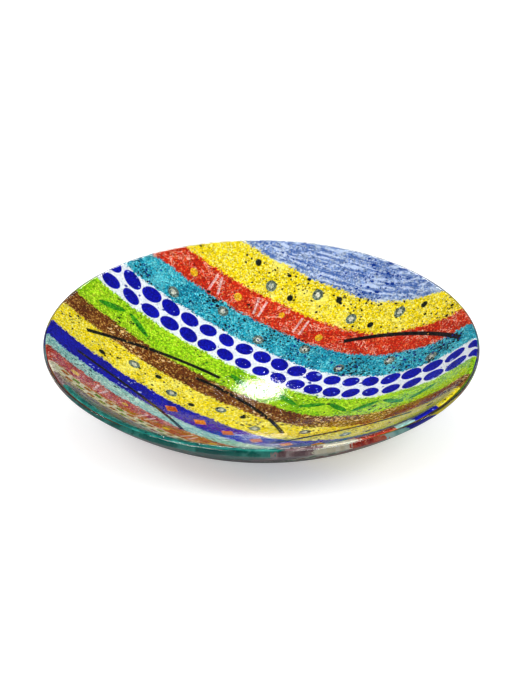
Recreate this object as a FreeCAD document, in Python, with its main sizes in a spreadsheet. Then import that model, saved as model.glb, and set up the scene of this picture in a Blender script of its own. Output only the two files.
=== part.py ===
import FreeCAD, Part

import functools
import math
import os

import Sketcher

# A wide, shallow fused-glass bowl in millimetres, standing on its ground foot.
# It is laid up as the kiln worker lays it up: a clear base glass, a layer of coloured
# strips and inlays lying edge to edge, and a clear cap glass, all slumped to one sphere.
# +Z is up, the origin is the centre of the foot, and +Y points away from the viewer.

# Driving sizes, one cell of the sheet each.
SIZES = {
    "rim_radius": 200.0,
    "lip_rise": 77.5,
    "floor_thickness": 1.8,
    "cap_thickness": 2.0,
    "colour_thickness": 1.4,
    "base_thickness": 4.6,
    "edge_cover": 2.4,
    "wave_angle": -35.0,
    "wave_radius_left": 460.0,
    "wave_radius_right": 460.0,
    "wave_reach": 60.0,
    "pattern_overhang": 40.0,
    "lavender_width": 78.0,
    "far_yellow_width": 34.0,
    "far_red_width": 26.0,
    "turquoise_width": 28.0,
    "white_width": 34.0,
    "lime_width": 32.0,
    "amber_width": 24.0,
    "near_yellow_width": 36.0,
    "cobalt_width": 28.0,
    "aqua_width": 18.0,
    "near_red_width": 26.0,
    "cream_width": 20.0,
    "mauve_width": 18.0,
    "teal_width": 78.0,
    "pebble_length_share": 0.57,
    "pebble_width_share": 0.452,
    "pebble_pitch_share": 0.585,
    "pebble_turn": 22.0,
    "sliver_length": 26.0,
    "sliver_width": 6.4,
    "sliver_pitch": 27.0,
    "sliver_tilt": 24.0,
    "tessera_side": 6.4,
    "tessera_pitch": 10.6,
    "tessera_turn": 7.0,
    "rung_length": 18.0,
    "rung_width": 2.2,
    "rung_gap": 7.0,
    "rung_pitch": 47.0,
    "rung_turn": 9.0,
    "murrine_radius": 5.4,
    "murrine_core_radius": 2.5,
    "murrine_pitch": 46.0,
    "spot_radius": 3.1,
    "yellow_spot_radius": 4.2,
    "diamond_radius": 7.2,
    "diamond_pitch": 31.0,
    "stringer_width": 4.2,
    "stringer_radius": 130.0,
    "stringer_sweep": 58.0,
    "stringer_depth": 0.8,
    "inlay_margin": 4.0,
    "rim_cut_reach": 4.0,
}

# Strips of the coloured layer, in order from the far right of the bowl to the near left.
# Their widths are taken in proportion, so that they always fill the bowl from rim to rim.
STRIPS = [
    ("lavender_strip", "lavender_width"),
    ("far_yellow_strip", "far_yellow_width"),
    ("far_red_strip", "far_red_width"),
    ("turquoise_strip", "turquoise_width"),
    ("white_strip", "white_width"),
    ("lime_strip", "lime_width"),
    ("amber_strip", "amber_width"),
    ("near_yellow_strip", "near_yellow_width"),
    ("cobalt_strip", "cobalt_width"),
    ("aqua_strip", "aqua_width"),
    ("near_red_strip", "near_red_width"),
    ("cream_strip", "cream_width"),
    ("mauve_strip", "mauve_width"),
    ("teal_strip", "teal_width"),
]

# Which strips carry the rungs and the slices of ringed cane, and how far along their
# pitch the first one starts; then where each thread lies along and across the wave, in
# rim radii, and how many degrees it tilts from it.
RED_STRIPS = (("far_red_strip", 0.3), ("near_red_strip", 0.0))
MURRINE_STRIPS = (("far_yellow_strip", 0.2), ("near_yellow_strip", 0.45), ("turquoise_strip", 0.7))
STRINGERS = (
    (-0.60, 0.03, 20.0),
    (-0.04, -0.02, -15.0),
    (0.50, -0.13, 22.0),
    (-0.40, -0.36, -14.0),
    (0.40, 0.62, -12.0),
)

UP = FreeCAD.Vector(0, 0, 1)

doc = FreeCAD.newDocument("fused_glass_bowl")
sheet = doc.addObject("Spreadsheet::Sheet", "Sizes")
for row, (alias, number) in enumerate(SIZES.items(), 1):
    sheet.set(f"A{row}", str(number))
    sheet.setAlias(f"A{row}", alias)
doc.recompute()


def cell(alias):
    return f"Sizes.{alias}"


# Formulas on the cells, used both in expressions and, through value(), in the code.
WALL = "(Sizes.cap_thickness + Sizes.colour_thickness + Sizes.base_thickness)"
LIP_RADIUS = f"({WALL} / 2)"
LIP_CENTRE_R = f"(Sizes.rim_radius - {LIP_RADIUS})"
MIDDLE_SPHERE = f"(({LIP_CENTRE_R}^2 + Sizes.lip_rise^2) / (2 * Sizes.lip_rise))"
INNER_SPHERE = f"({MIDDLE_SPHERE} - {LIP_RADIUS})"
OUTER_SPHERE = f"({MIDDLE_SPHERE} + {LIP_RADIUS})"
SEAM_SPHERE = f"({INNER_SPHERE} + Sizes.cap_thickness)"
BED_SPHERE = f"({SEAM_SPHERE} + Sizes.colour_thickness)"
SPHERE_Z = f"({BED_SPHERE} + Sizes.floor_thickness)"
FOOT_RADIUS = f"sqrt({OUTER_SPHERE}^2 - {SPHERE_Z}^2)"
LIP_SIN = f"({LIP_CENTRE_R} / {MIDDLE_SPHERE})"
LIP_COS = f"(({MIDDLE_SPHERE} - Sizes.lip_rise) / {MIDDLE_SPHERE})"
EDGE_SIN = f"((Sizes.rim_radius - Sizes.edge_cover) / {MIDDLE_SPHERE})"
EDGE_COS = f"sqrt(1 - {EDGE_SIN}^2)"
SEAM_COS_FROM_LIP = (
    f"(({MIDDLE_SPHERE}^2 + {SEAM_SPHERE}^2 - {LIP_RADIUS}^2)"
    f" / (2 * {MIDDLE_SPHERE} * {SEAM_SPHERE}))"
)
SEAM_SIN_FROM_LIP = f"sqrt(1 - {SEAM_COS_FROM_LIP}^2)"
SEAM_SIN = f"({LIP_SIN} * {SEAM_COS_FROM_LIP} + {LIP_COS} * {SEAM_SIN_FROM_LIP})"
SEAM_COS = f"({LIP_COS} * {SEAM_COS_FROM_LIP} - {LIP_SIN} * {SEAM_SIN_FROM_LIP})"
TOOL_HEIGHT = "Sizes.rim_radius"


@functools.cache
def value(formula):
    return float(sheet.evalExpression(formula.replace("Sizes.", "")))


def cell_number(alias):
    return value(cell(alias))


# Profile points in the half plane, as a pair of formulas (radius, height).
def on_sphere(sphere, sine, cosine):
    return f"{sphere} * {sine}", f"{SPHERE_Z} - {sphere} * {cosine}"


def on_axis(sphere):
    return "0", f"{SPHERE_Z} - {sphere}"


FOOT_CENTRE = ("0", "0")
FOOT_EDGE = (FOOT_RADIUS, "0")
OUTER_LIP = on_sphere(OUTER_SPHERE, LIP_SIN, LIP_COS)
INNER_LIP = on_sphere(INNER_SPHERE, LIP_SIN, LIP_COS)
SEAM_LIP = on_sphere(SEAM_SPHERE, SEAM_SIN, SEAM_COS)
SEAM_EDGE = on_sphere(SEAM_SPHERE, EDGE_SIN, EDGE_COS)
BED_EDGE = on_sphere(BED_SPHERE, EDGE_SIN, EDGE_COS)
SPHERE_CENTRE = ("0", SPHERE_Z)
LIP_CENTRE = (LIP_CENTRE_R, f"{SPHERE_Z} - {MIDDLE_SPHERE} * {LIP_COS}")


def flat(point):
    return FreeCAD.Vector(value(point[0]), value(point[1]), 0)


def closed_outline(sketch, pieces):
    # Lines (start, end) and arcs (start, end, centre, radius) drawn head to tail, with every
    # corner and radius bound to the sheet.
    for start, end, *curve in pieces:
        if not curve:
            sketch.addGeometry(Part.LineSegment(flat(start), flat(end)))
            continue
        centre, radius = flat(curve[0]), value(curve[1])
        angles = [math.atan2((p - centre).y, (p - centre).x) for p in (flat(start), flat(end))]
        turn = (angles[1] - angles[0]) % (2 * math.pi)
        if turn > math.pi:
            angles.reverse()
        circle = Part.Circle(centre, UP, radius)
        sketch.addGeometry(Part.ArcOfCircle(circle, *angles))
    for index, (start, end, *curve) in enumerate(pieces):
        at_start = (sketch.getPoint(index, 1) - flat(start)).Length < 1e-6
        first = 1 if at_start else 2
        following = (index + 1) % len(pieces)
        next_first = 1 if (sketch.getPoint(following, 1) - flat(end)).Length < 1e-6 else 2
        join = Sketcher.Constraint("Coincident", index, 3 - first, following, next_first)
        sketch.addConstraint(join)
        for axis, formula in zip("XY", start):
            if formula == "0":
                line = -2 if axis == "X" else -1
                sketch.addConstraint(Sketcher.Constraint("PointOnObject", index, first, line))
                continue
            number = sketch.addConstraint(
                Sketcher.Constraint(f"Distance{axis}", -1, 1, index, first, value(formula))
            )
            sketch.setExpression(f"Constraints[{number}]", formula)
        if curve:
            number = sketch.addConstraint(Sketcher.Constraint("Radius", index, value(curve[1])))
            sketch.setExpression(f"Constraints[{number}]", curve[1])


def turned_body(label, pieces):
    # A body of revolution about Z from a profile in the XZ plane.
    body = doc.addObject("PartDesign::Body", label)
    body.Label = label
    sketch = body.newObject("Sketcher::SketchObject", f"{label}_profile")
    plane = next(o for o in body.Origin.OriginFeatures if o.Role == "XZ_Plane")
    sketch.AttachmentSupport = [(plane, "")]
    sketch.MapMode = "FlatFace"
    closed_outline(sketch, pieces)
    turned = body.newObject("PartDesign::Revolution", f"{label}_turned")
    turned.Profile = sketch
    turned.ReferenceAxis = (sketch, ["V_Axis"])
    turned.Angle = 360.0
    body.Tip = turned
    return body


def clear_base():
    seam_arc = (SPHERE_CENTRE, SEAM_SPHERE)
    return turned_body(
        "clear_base",
        [
            (FOOT_CENTRE, FOOT_EDGE),
            (FOOT_EDGE, OUTER_LIP, SPHERE_CENTRE, OUTER_SPHERE),
            (OUTER_LIP, SEAM_LIP, LIP_CENTRE, LIP_RADIUS),
            (SEAM_LIP, SEAM_EDGE, *seam_arc),
            (SEAM_EDGE, BED_EDGE),
            (BED_EDGE, on_axis(BED_SPHERE), SPHERE_CENTRE, BED_SPHERE),
            (on_axis(BED_SPHERE), FOOT_CENTRE),
        ],
    )


def clear_cap():
    return turned_body(
        "clear_cap",
        [
            (on_axis(SEAM_SPHERE), SEAM_LIP, SPHERE_CENTRE, SEAM_SPHERE),
            (SEAM_LIP, INNER_LIP, LIP_CENTRE, LIP_RADIUS),
            (INNER_LIP, on_axis(INNER_SPHERE), SPHERE_CENTRE, INNER_SPHERE),
            (on_axis(INNER_SPHERE), on_axis(SEAM_SPHERE)),
        ],
    )


def layer_below_seam(label, sphere):
    # A layer of the coloured glass, from the seam under the cap down to that sphere.
    edge = on_sphere(sphere, EDGE_SIN, EDGE_COS)
    return turned_body(
        label,
        [
            (on_axis(sphere), edge, SPHERE_CENTRE, sphere),
            (edge, SEAM_EDGE),
            (SEAM_EDGE, on_axis(SEAM_SPHERE), SPHERE_CENTRE, SEAM_SPHERE),
            (on_axis(SEAM_SPHERE), on_axis(sphere)),
        ],
    )


# The strips follow a wave of two arcs that meet at the bowl's middle. In the wave's own
# frame x runs along the strips and y across them; an edge is named by its y at the middle.
LEFT_CENTRE = ("0", f"-{cell('wave_radius_left')}")
RIGHT_CENTRE = ("0", cell("wave_radius_right"))


def left_radius(edge):
    return f"({cell('wave_radius_left')} + {edge})"


def right_radius(edge):
    return f"({cell('wave_radius_right')} - {edge})"


def left_end(edge):
    reach = cell("wave_reach")
    return (
        f"-{left_radius(edge)} * sin({reach})",
        f"{left_radius(edge)} * cos({reach}) - {cell('wave_radius_left')}",
    )


def right_end(edge):
    reach = cell("wave_reach")
    return (
        f"{right_radius(edge)} * sin({reach})",
        f"{cell('wave_radius_right')} - {right_radius(edge)} * cos({reach})",
    )


@functools.cache
def strip_edges():
    # The formula of each edge, from the far right strip's outer edge inwards.
    half = "(Sizes.rim_radius + Sizes.pattern_overhang)"
    total = " + ".join(cell(width) for _, width in STRIPS)
    edges = [half]
    passed = "0"
    for _, width in STRIPS:
        passed = f"{passed} + {cell(width)}"
        edges.append(f"({half} * (1 - 2 * ({passed}) / ({total})))")
    return edges


def raised(name, plan):
    # An upright prism over a plan, taller than the bowl.
    prism = doc.addObject("Part::Extrusion", name)
    prism.Base = plan
    prism.DirMode = "Custom"
    prism.Dir = UP
    prism.Solid = True
    prism.setExpression("LengthFwd", TOOL_HEIGHT)
    return prism


def strip_prism(name, upper, lower):
    # The ground between two parallel wave edges, raised.
    sketch = doc.addObject("Sketcher::SketchObject", f"{name}_plan")
    closed_outline(
        sketch,
        [
            (left_end(upper), ("0", upper), LEFT_CENTRE, left_radius(upper)),
            (("0", upper), right_end(upper), RIGHT_CENTRE, right_radius(upper)),
            (right_end(upper), right_end(lower)),
            (right_end(lower), ("0", lower), RIGHT_CENTRE, right_radius(lower)),
            (("0", lower), left_end(lower), LEFT_CENTRE, left_radius(lower)),
            (left_end(lower), left_end(upper)),
        ],
    )
    sketch.setExpression("Placement.Rotation.Angle", cell("wave_angle"))
    return raised(f"{name}_prism", sketch)


def wave_point(edge, along):
    # The point that far along the wave from the middle, and the wave's heading there in degrees.
    side = -1 if along < 0 else 1
    bend = value(cell("wave_radius_left" if along < 0 else "wave_radius_right"))
    radius = bend - side * edge
    turn = along / radius
    local = FreeCAD.Vector(radius * math.sin(turn), side * (bend - radius * math.cos(turn)), 0)
    wave_angle = value(cell("wave_angle"))
    heading = side * math.degrees(turn) + wave_angle
    return FreeCAD.Rotation(UP, wave_angle).multVec(local), heading


def ahead(heading, distance):
    return FreeCAD.Rotation(UP, heading).multVec(FreeCAD.Vector(distance, 0, 0))


def thread_centres():
    # The centre of each thread's bend, and the direction from there to the thread's middle.
    found = []
    for along, across, tilt in STRINGERS:
        rim = value(cell("rim_radius"))
        place, heading = wave_point(across * rim, along * rim)
        turn = heading + tilt + 90
        found.append((place - ahead(turn, value(cell("stringer_radius"))), turn))
    return found


def fits(place, size, cut_short=False):
    # True if an inlay of that radius lies off every thread and in the coloured layer: wholly,
    # or by a good part where the rim may cut it short.
    room = size + value(cell("inlay_margin"))
    layer_radius = value(f"{SEAM_SPHERE} * {EDGE_SIN}")
    bend = value(cell("stringer_radius"))
    half_width = value(cell("stringer_width")) / 2
    for centre, turn in thread_centres():
        out = place - centre
        swing = math.degrees(math.atan2(out.y, out.x)) - turn
        swing = abs((swing + 180) % 360 - 180) - value(cell("stringer_sweep")) / 2
        beyond_end = math.radians(max(swing, 0)) * bend
        if math.hypot(out.Length - bend, beyond_end) < room / 2 + size / 2 + half_width:
            return False
    return place.Length + (-value(cell("rim_cut_reach")) if cut_short else room) < layer_radius


# The tools that cut a pocket in each strip; a pocket is as large as the inlay fused into it.
pockets = {name: [] for name, _ in STRIPS}


def pocketed(strip, tool):
    pockets[strip].append(tool)
    return tool


def upright(kind, name, place, heading, centre_x=0.0, centre_y=0.0, **bound):
    # A primitive standing on the ground plane, taller than the bowl, its sizes bound to the sheet.
    solid = doc.addObject(kind, name)
    for size, formula in {"Height": TOOL_HEIGHT, **bound}.items():
        solid.setExpression(size, formula)
    turn = FreeCAD.Rotation(UP, heading)
    corner = place - turn.multVec(FreeCAD.Vector(centre_x, centre_y, 0))
    solid.Placement = FreeCAD.Placement(corner, turn)
    return solid


def uneven(index, amount):
    # The small unevenness of pieces laid by hand, the same in every build.
    return amount * math.sin(2.4 * index + 0.8)


def round_tool(name, place, radius):
    return upright("Part::Cylinder", name, place, 0, Radius=radius)


def oval_tool(name, place, heading, long_radius, short_radius):
    outline = doc.addObject("Part::Ellipse", f"{name}_plan")
    outline.setExpression("MajorRadius", long_radius)
    outline.setExpression("MinorRadius", short_radius)
    outline.Placement = FreeCAD.Placement(place, FreeCAD.Rotation(UP, heading))
    return raised(name, outline)


def bar_tool(name, place, heading, length, width):
    half_length, half_width = value(length) / 2, value(width) / 2
    return upright(
        "Part::Box", name, place, heading, half_length, half_width, Length=length, Width=width
    )


def places_along(edge, step, size, start=0.0, cut_short=False):
    # Evenly spaced points on the wave at that distance across it, as far as the layer reaches.
    reach = int(value(cell("rim_radius")) * 1.5 / step) + 1
    found = []
    for index in range(-reach, reach + 1):
        place, heading = wave_point(edge, (index + start) * step)
        if fits(place, size, cut_short):
            found.append((index, place, heading))
    return found


def edges_of(strip):
    index = [name for name, _ in STRIPS].index(strip)
    return strip_edges()[index : index + 2]


def width_of(strip):
    return "({} - {})".format(*edges_of(strip))


def middle_of(strip):
    return sum(value(edge) for edge in edges_of(strip)) / 2


def cobalt_pebbles():
    # Oval pebbles in two rows along the white strip, in proportion to it, no two quite alike.
    # The outermost run into the rim and are cut off there with the layer.
    strip = "white_strip"
    width = width_of(strip)
    half_length = f"{width} * {cell('pebble_length_share')} / 2"
    half_width = f"{width} * {cell('pebble_width_share')} / 2"
    step = value(width) * cell_number("pebble_pitch_share")
    tools = []
    for row in (0, 1):
        edge = middle_of(strip) + (row - 0.5) * value(width) / 2
        start = 0.3 + row / 2
        places = places_along(edge, step, value(half_length), start, cut_short=True)
        for index, place, heading in places:
            heading += uneven(index + 4 * row, cell_number("pebble_turn"))
            share = 0.93 + uneven(3 * index + row, 0.06)
            size = (f"{half_length} * {share}", f"{half_width} * {share}")
            tools.append(pocketed(strip, oval_tool("pebble", place, heading, *size)))
    return tools


def green_slivers():
    # Slim slivers on the lime strip, tilted one way and then the other.
    strip, tilt = "lime_strip", cell_number("sliver_tilt")
    half_length, half_width = (f"{cell(size)} / 2" for size in ("sliver_length", "sliver_width"))
    tools = []
    pitch = cell_number("sliver_pitch")
    places = places_along(middle_of(strip), pitch, value(half_length), 0.5)
    for index, place, heading in places:
        heading += (tilt if index % 2 else -tilt) + uneven(index, tilt / 3)
        sliver = oval_tool("sliver", place, heading, half_length, half_width)
        tools.append(pocketed(strip, sliver))
    return tools


def tesserae(parity):
    # Square tiles in two rows along the cream strip; the two colours take turns.
    strip, side, pitch = "cream_strip", cell("tessera_side"), cell_number("tessera_pitch")
    tools = []
    for row in (0, 1):
        edge = middle_of(strip) + (row - 0.5) * value(width_of(strip)) / 2
        for index, place, heading in places_along(edge, pitch, value(side), 0.25):
            heading += uneven(index + 5 * row, cell_number("tessera_turn"))
            if (index + row) % 2 == parity:
                tools.append(pocketed(strip, bar_tool("tessera", place, heading, side, side)))
    return tools


def red_tesserae():
    return tesserae(0)


def green_tesserae():
    return tesserae(1)


def pink_rungs():
    # Pairs of thin rungs across the two red strips.
    length, width, pitch = cell("rung_length"), cell("rung_width"), cell_number("rung_pitch")
    tools = []
    for strip, start in RED_STRIPS:
        places = places_along(middle_of(strip), pitch, value(length) / 2, start)
        for index, place, heading in places:
            for side in (-0.5, 0.5):
                spot = place + ahead(heading, side * value(cell("rung_gap")))
                turn = heading + 90 + uneven(index + side, cell_number("rung_turn"))
                tools.append(pocketed(strip, bar_tool("rung", spot, turn, length, width)))
    return tools


def yellow_spots():
    # Spots on the red strips, halfway between the pairs of rungs.
    radius, pitch = cell("yellow_spot_radius"), cell_number("rung_pitch")
    tools = []
    for strip, start in RED_STRIPS:
        places = places_along(middle_of(strip), pitch, value(radius), start + 0.5)
        for index, place, heading in places:
            place = place + ahead(heading + 90, uneven(index, value(radius)))
            size = f"{radius} * (0.85 + {uneven(7 * index, 0.15)})"
            tools.append(pocketed(strip, round_tool("yellow_spot", place, size)))
    return tools


def staggered(strip, start, swing, size):
    # Places at the murrine pitch, swung to one side of the strip's middle and then the other.
    pitch = cell_number("murrine_pitch")
    found = []
    for index, _, _ in places_along(middle_of(strip), pitch, size, start):
        edge = middle_of(strip) + (swing if index % 2 else -swing)
        place, _ = wave_point(edge, (index + start) * pitch)
        if fits(place, size):
            found.append(place)
    return found


def murrine_places():
    size = value(cell("murrine_radius"))
    return [
        (strip, place)
        for strip, start in MURRINE_STRIPS
        for place in staggered(strip, start, size, size)
    ]


def murrine_rings():
    tools = []
    for strip, place in murrine_places():
        ring = doc.addObject("Part::Cut", "murrine_ring")
        ring.Base = pocketed(strip, round_tool("murrine_outside", place, cell("murrine_radius")))
        ring.Tool = round_tool("murrine_hole", place, cell("murrine_core_radius"))
        tools.append(ring)
    return tools


def murrine_cores():
    radius = cell("murrine_core_radius")
    return [round_tool("murrine_core", place, radius) for _, place in murrine_places()]


def black_spots():
    # Spots between the murrine of the yellow strips, swung the other way.
    radius = cell("spot_radius")
    tools = []
    for strip, start in MURRINE_STRIPS[:2]:
        for place in staggered(strip, start + 0.5, 2.6 * value(radius), value(radius)):
            tools.append(pocketed(strip, round_tool("black_spot", place, radius)))
    return tools


def orange_diamonds():
    # Squares on the cobalt strip, each standing on a corner.
    strip, radius = "cobalt_strip", cell("diamond_radius")
    tools = []
    pitch = cell_number("diamond_pitch")
    for _, place, heading in places_along(middle_of(strip), pitch, value(radius), 0.3):
        diamond = upright("Part::Prism", "diamond", place, heading, Circumradius=radius)
        diamond.Polygon = 4
        tools.append(pocketed(strip, diamond))
    return tools


def black_stringers():
    # Long thin glass threads sunk part way into the middle strips, each a bent ribbon.
    half = f"{cell('stringer_width')} / 2"
    outside = f"{cell('stringer_radius')} + {half}"
    inside = f"{cell('stringer_radius')} - {half}"
    sweep = cell("stringer_sweep")
    tools = []
    for centre, turn in thread_centres():
        start = turn - value(sweep) / 2
        ribbon = doc.addObject("Part::Cut", "stringer")
        ribbon.Base = upright(
            "Part::Cylinder", "stringer_outside", centre, start, Radius=outside, Angle=sweep
        )
        ribbon.Tool = upright(
            "Part::Cylinder", "stringer_inside", centre, start, Radius=inside, Angle=sweep
        )
        tools.append(ribbon)
    return tools


INLAYS = [
    cobalt_pebbles,
    green_slivers,
    red_tesserae,
    green_tesserae,
    pink_rungs,
    yellow_spots,
    murrine_rings,
    murrine_cores,
    black_spots,
    orange_diamonds,
]


def shared(label, *objects):
    # What the objects have in common, as one object of the document.
    common = doc.addObject("Part::MultiCommon", label)
    common.Shapes = list(objects)
    return common


def grouped(label, objects):
    group = doc.addObject("Part::Compound", label)
    group.Links = objects
    return group


def kept_piece(kind, label):
    piece = doc.addObject(kind, label)
    piece.Label = label
    kept.append(piece)
    return piece


kept = []


def main():
    kept.extend([clear_base(), clear_cap()])
    layer = layer_below_seam("colour_layer", BED_SPHERE)
    thread_bed = layer_below_seam("thread_layer", f"({SEAM_SPHERE} + Sizes.stringer_depth)")
    stringers = kept_piece("Part::MultiCommon", "black_stringers")
    stringers.Shapes = [thread_bed, grouped("stringer_tools", black_stringers())]

    for make in INLAYS:
        piece = kept_piece("Part::MultiCommon", make.__name__)
        piece.Shapes = [layer, grouped(f"{make.__name__}_tools", make())]

    edges = strip_edges()
    for (label, _), upper, lower in zip(STRIPS, edges, edges[1:]):
        strip = kept_piece("Part::Cut", label)
        strip.Base = shared(f"{label}_whole", layer, strip_prism(label, upper, lower))
        strip.Tool = grouped(f"{label}_pockets", [*pockets[label], stringers])
    doc.recompute()

    for item in doc.Objects:
        if {"Invalid", "Error"} & set(item.State):
            raise RuntimeError(f"{item.Label} failed: {item.State}")
    os.makedirs("parts", exist_ok=True)
    for item in kept:
        if item.Shape.isNull() or not item.Shape.isValid() or not item.Shape.Solids:
            raise RuntimeError(f"{item.Label} has no valid solid")
        item.Shape.exportStep(f"parts/{item.Label}.step")
        print(f"{item.Label}: {len(item.Shape.Solids)} solids, {item.Shape.Volume:.1f} mm3")


main()
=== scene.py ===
import math

import bmesh
import bpy
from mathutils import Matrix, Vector


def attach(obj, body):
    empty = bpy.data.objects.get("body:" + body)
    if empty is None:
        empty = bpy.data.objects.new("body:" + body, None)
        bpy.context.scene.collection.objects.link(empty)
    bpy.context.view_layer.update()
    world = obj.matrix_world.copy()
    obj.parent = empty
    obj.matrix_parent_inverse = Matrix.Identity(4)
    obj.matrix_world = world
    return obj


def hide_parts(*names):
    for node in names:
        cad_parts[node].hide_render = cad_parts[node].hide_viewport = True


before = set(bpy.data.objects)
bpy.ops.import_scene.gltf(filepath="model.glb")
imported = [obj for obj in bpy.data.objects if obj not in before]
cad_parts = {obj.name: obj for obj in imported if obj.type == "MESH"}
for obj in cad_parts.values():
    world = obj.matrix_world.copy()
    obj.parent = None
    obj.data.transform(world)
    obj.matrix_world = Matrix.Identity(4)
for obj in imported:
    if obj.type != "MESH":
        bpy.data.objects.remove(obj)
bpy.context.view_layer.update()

print("bowl: frame loaded,", len(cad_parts), "nodes")

# the same sizes as the solids, in metres
bowl = {
    "rimRadius": 0.2,
    "lipRise": 0.0775,
    "floorGlass": 0.0018,
    "capGlass": 0.002,
    "colourGlass": 0.0014,
    "baseGlass": 0.0046,
}
lipRadius = (bowl["capGlass"] + bowl["colourGlass"] + bowl["baseGlass"]) / 2
lipCentreR = bowl["rimRadius"] - lipRadius
middleSphere = (lipCentreR**2 + bowl["lipRise"] ** 2) / (2 * bowl["lipRise"])
innerSphere = middleSphere - lipRadius
outerSphere = middleSphere + lipRadius
seamSphere = innerSphere + bowl["capGlass"]
sphereZ = seamSphere + bowl["colourGlass"] + bowl["floorGlass"]
lipAngle = math.asin(lipCentreR / middleSphere)
lipZ = sphereZ - middleSphere * math.cos(lipAngle)
footRadius = math.sqrt(outerSphere**2 - sphereZ**2)

# the wave that the strips follow, as in the solids
wave = {"turn": -35.0, "bend": 0.46, "firstEdge": 0.24}
strips = [
    ("lavender_strip", 0.078),
    ("far_yellow_strip", 0.034),
    ("far_red_strip", 0.026),
    ("turquoise_strip", 0.028),
    ("white_strip", 0.034),
    ("lime_strip", 0.032),
    ("amber_strip", 0.024),
    ("near_yellow_strip", 0.036),
    ("cobalt_strip", 0.028),
    ("aqua_strip", 0.018),
    ("near_red_strip", 0.026),
    ("cream_strip", 0.020),
    ("mauve_strip", 0.018),
    ("teal_strip", 0.078),
]


# small helpers for wiring nodes
def put(tree, kind, **values):
    node = tree.nodes.new(kind)
    for name, value in values.items():
        setattr(node, name, value)
    return node


def feed(tree, target, source):
    if isinstance(source, bpy.types.NodeSocket):
        tree.links.new(source, target)
    elif source is not None:
        target.default_value = source


def maths(tree, operation, a, b=None, c=None):
    node = put(tree, "ShaderNodeMath", operation=operation)
    for target, source in zip(node.inputs, (a, b, c)):
        feed(tree, target, source)
    return node.outputs[0]


def blendColour(tree, factor, a, b, mode="MIX"):
    node = put(tree, "ShaderNodeMix", data_type="RGBA", blend_type=mode)
    for target, source in zip((node.inputs[0], node.inputs[6], node.inputs[7]), (factor, a, b)):
        feed(tree, target, source)
    return node.outputs[2]


def hypotenuse(tree, x, y):
    squares = maths(tree, "ADD", maths(tree, "MULTIPLY", x, x), maths(tree, "MULTIPLY", y, y))
    return maths(tree, "SQRT", squares)


def rise(tree, value, low, high, bottom=0.0, top=1.0):
    node = put(tree, "ShaderNodeMapRange", interpolation_type="SMOOTHSTEP")
    for target, source in zip(node.inputs, (value, low, high, bottom, top)):
        feed(tree, target, source)
    return node.outputs[0]


def noise(tree, vector, scale, detail=2.0, rough=0.5, distortion=0.0):
    node = put(tree, "ShaderNodeTexNoise")
    feed(tree, node.inputs["Vector"], vector)
    given = (("Scale", scale), ("Detail", detail), ("Roughness", rough), ("Distortion", distortion))
    for name, value in given:
        feed(tree, node.inputs[name], value)
    return node.outputs["Fac"]


def cells(tree, vector, scale):  # distance to the nearest grain, and two random numbers of its own
    node = put(tree, "ShaderNodeTexVoronoi", feature="F1")
    feed(tree, node.inputs["Vector"], vector)
    feed(tree, node.inputs["Scale"], scale)
    node.inputs["Randomness"].default_value = 1.0
    split = put(tree, "ShaderNodeSeparateColor")
    tree.links.new(node.outputs["Color"], split.inputs[0])
    return node.outputs["Distance"], split.outputs[0], split.outputs[1]


def newGroup(name, inputs, outputs):
    tree = bpy.data.node_groups.new(name, "ShaderNodeTree")
    for label, kind, value in inputs:
        item = tree.interface.new_socket(label, in_out="INPUT", socket_type=kind)
        if value is not None:
            item.default_value = value
    for label, kind in outputs:
        tree.interface.new_socket(label, in_out="OUTPUT", socket_type=kind)
    return tree, tree.nodes.new("NodeGroupInput").outputs, tree.nodes.new("NodeGroupOutput").inputs


def newMaterial(name):
    material = bpy.data.materials.new(name)
    material.use_nodes = True
    return material, material.node_tree, material.node_tree.nodes["Principled BSDF"]


def dress(data, material):
    data.materials.clear()
    data.materials.append(material)


def placed(name, data):
    thing = bpy.data.objects.new(name, data)
    bpy.context.scene.collection.objects.link(thing)
    return thing


floatSocket, colourSocket, vectorSocket = "NodeSocketFloat", "NodeSocketColor", "NodeSocketVector"


# the coloured layer
layer = {
    "tone": 0.98,  # how bright the colours stand against the white table
    "richness": 1.16,
    "sway": 0.007,
    "crumble": 0.0032,
    "shade": 0.5,
    "speckScale": 230.0,
    "stripGrain": 900.0,  # grains to the metre
    "inlayGrain": 1100.0,
    "crumbGrain": 1600.0,
    "roughness": (0.35, 0.6),
    "bump": 0.25,
    "bumpDepth": 0.0003,
    "meltStart": seamSphere + 0.2 * bowl["colourGlass"],
    "meltEnd": seamSphere + 0.7 * bowl["colourGlass"],
}


# effects that several of the glasses share
def waveField():  # how far across and along the wave a point lies
    tree, given, out = newGroup(
        "waveField",
        [
            ("Vector", vectorSocket, None),
            ("Turn", floatSocket, wave["turn"]),
            ("Bend", floatSocket, wave["bend"]),
        ],
        [("Across", floatSocket), ("Flow", vectorSocket)],
    )
    turned = put(tree, "ShaderNodeVectorRotate", rotation_type="Z_AXIS")
    feed(tree, turned.inputs["Vector"], given["Vector"])
    backwards = maths(tree, "MULTIPLY", given["Turn"], -1.0)
    feed(tree, turned.inputs["Angle"], maths(tree, "RADIANS", backwards))
    split = put(tree, "ShaderNodeSeparateXYZ")
    tree.links.new(turned.outputs[0], split.inputs[0])
    x, y, z = split.outputs
    left = hypotenuse(tree, x, maths(tree, "ADD", y, given["Bend"]))
    left = maths(tree, "SUBTRACT", left, given["Bend"])
    right = hypotenuse(tree, x, maths(tree, "SUBTRACT", given["Bend"], y))
    right = maths(tree, "SUBTRACT", given["Bend"], right)
    onRight = maths(tree, "GREATER_THAN", x, 0.0)
    change = maths(tree, "MULTIPLY", onRight, maths(tree, "SUBTRACT", right, left))
    across = maths(tree, "ADD", left, change)
    joined = put(tree, "ShaderNodeCombineXYZ")
    for target, source in zip(joined.inputs, (x, across, z)):
        feed(tree, target, source)
    feed(tree, out["Across"], across)
    feed(tree, out["Flow"], joined.outputs[0])
    return tree


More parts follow.
